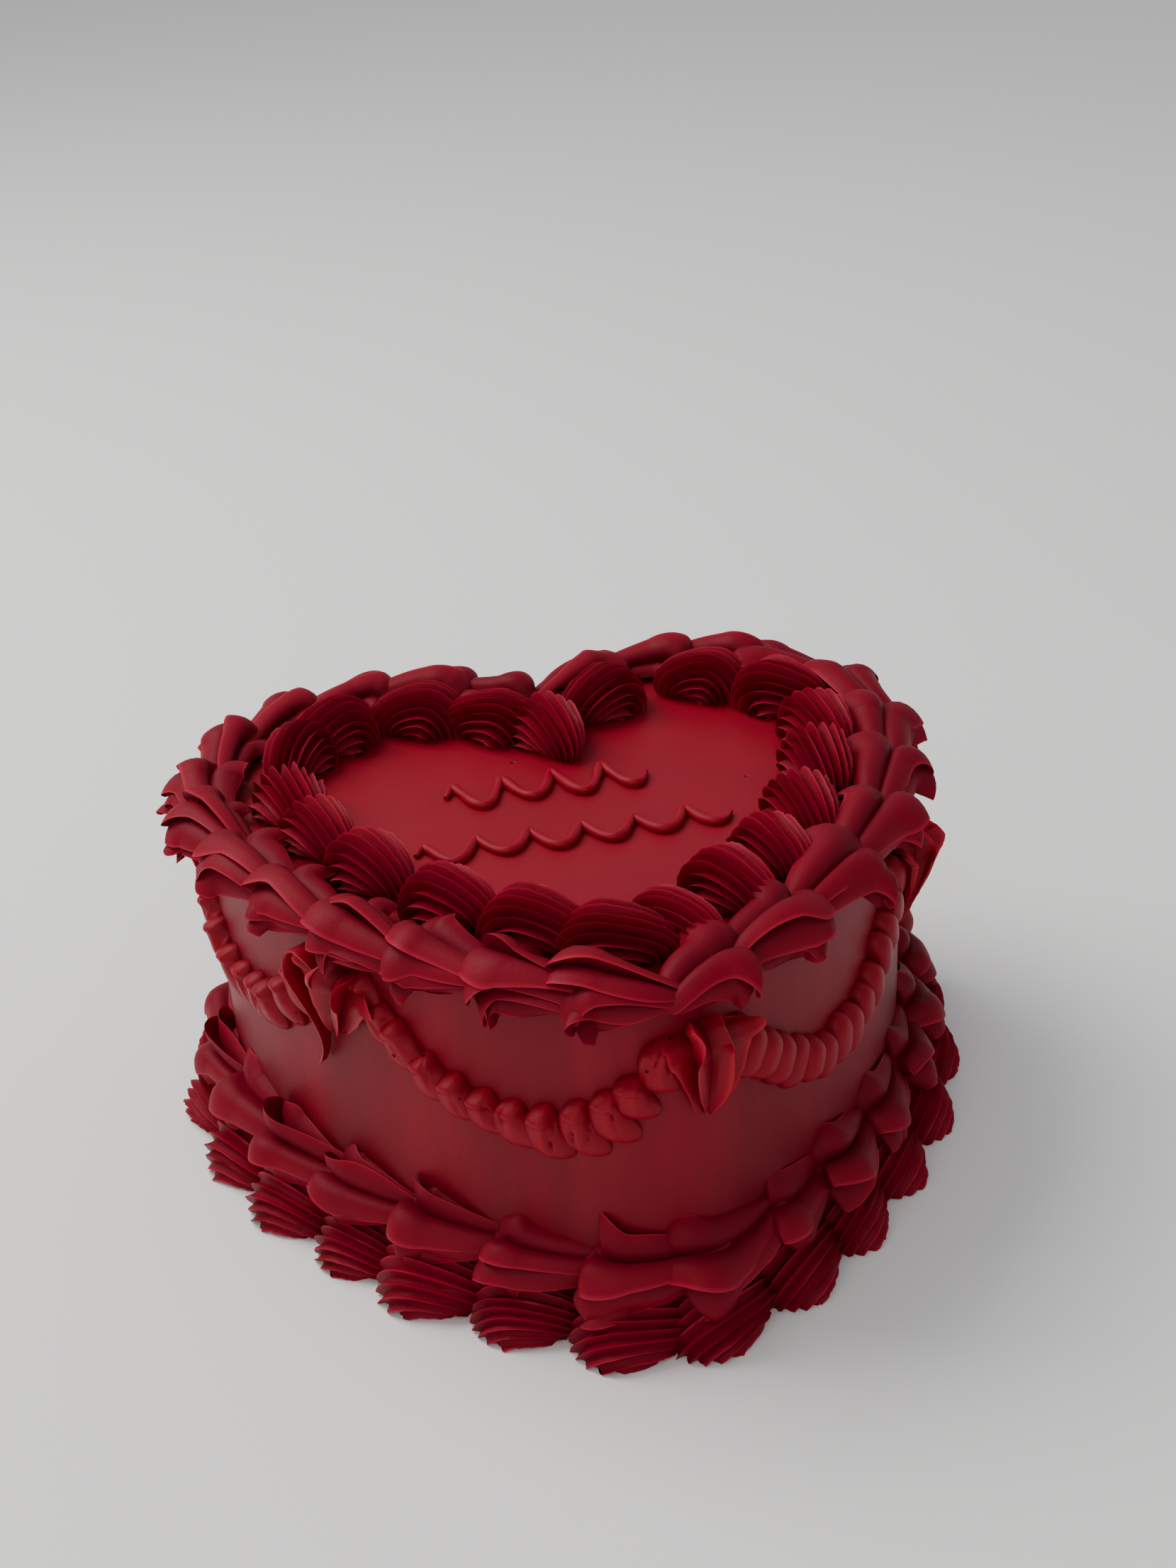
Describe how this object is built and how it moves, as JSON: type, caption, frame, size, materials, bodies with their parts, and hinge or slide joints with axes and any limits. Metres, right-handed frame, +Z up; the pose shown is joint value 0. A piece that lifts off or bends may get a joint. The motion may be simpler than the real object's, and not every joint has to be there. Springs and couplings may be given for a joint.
{
  "type": "heart shaped cake",
  "caption": "Uncut heart shaped buttercream cake with piped shell borders round top and base, and garlands with rosettes on the wall.",
  "frame": {"origin": "on the surface that the cake stands on, under the middle of the bounding box", "axes": "+Z up, +Y from the tip of the heart toward the notch between the lobes, +X to the right when the tip faces the viewer"},
  "size_m": [0.258, 0.248, 0.1269],
  "materials": {
    "crimson_icing": "smoothed buttercream, matte with a slight sheen",
    "wine_icing": "piped buttercream, matte with a slight sheen",
    "red_icing": "piped buttercream, matte with a slight sheen"
  },
  "bodies": {
    "root": {"cake_body": "crimson_icing", "top_inner_border": "wine_icing", "top_outer_border": "wine_icing", "base_lower_border": "wine_icing", "base_upper_border": "wine_icing", "rosette_1": "red_icing", "rosette_2": "red_icing", "rosette_3": "red_icing", "rosette_4": "red_icing", "rosette_5": "red_icing", "rosette_6": "red_icing", "swag_1": "red_icing", "swag_2": "red_icing", "swag_3": "red_icing", "swag_4": "red_icing", "swag_5": "red_icing", "swag_6": "red_icing", "top_flourish_upper": "red_icing", "top_flourish_lower": "red_icing"}
  },
  "joints": []
}
